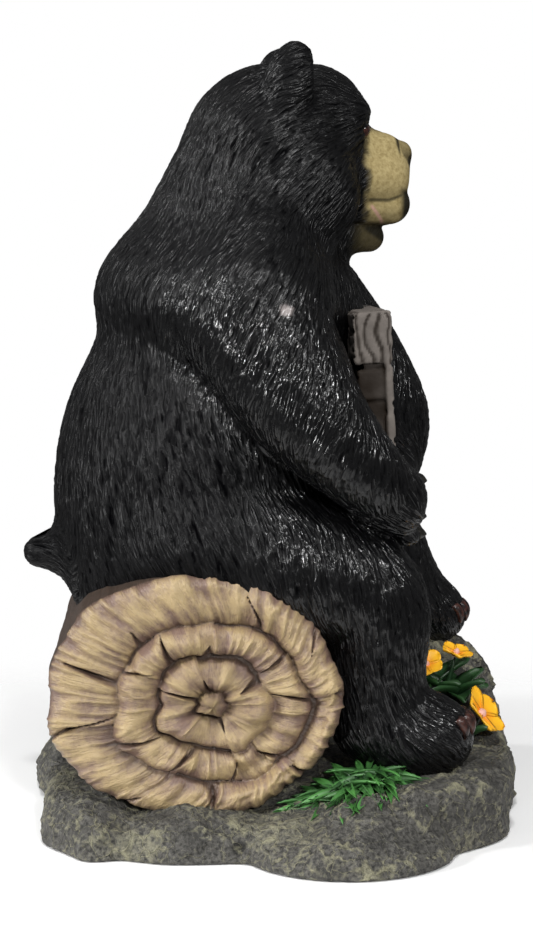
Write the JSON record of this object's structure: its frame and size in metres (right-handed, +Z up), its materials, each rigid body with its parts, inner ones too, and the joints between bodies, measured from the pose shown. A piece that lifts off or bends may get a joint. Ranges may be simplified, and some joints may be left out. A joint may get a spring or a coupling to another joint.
{
  "type": "seated bear figurine",
  "caption": "Black bear seated on a sawn log, holding a bare plank board, on a rock base with grass and yellow flowers, cast in one piece.",
  "frame": {"origin": "on the flat underside, below the bear's middle", "axes": "+Z up, -Y the way the bear looks, +X the bear's left"},
  "size_m": [0.1621, 0.166, 0.2521],
  "materials": {
    "black_fur_paint": "satin black paint over cast polyresin fur",
    "tan_muzzle_paint": "matte tan paint over cast polyresin",
    "claw_paint": "satin red-brown paint over cast polyresin",
    "log_paint": "ochre dry-brushed paint with a dark wash in the grooves",
    "rock_paint": "dark grey-brown paint with olive dry-brushing",
    "board_paint": "weathered grey wood paint",
    "grass_paint": "green paint with lighter edges",
    "petal_paint": "yellow-orange paint"
  },
  "bodies": {
    "root": {"bear_figurine": "black_fur_paint"}
  },
  "joints": []
}
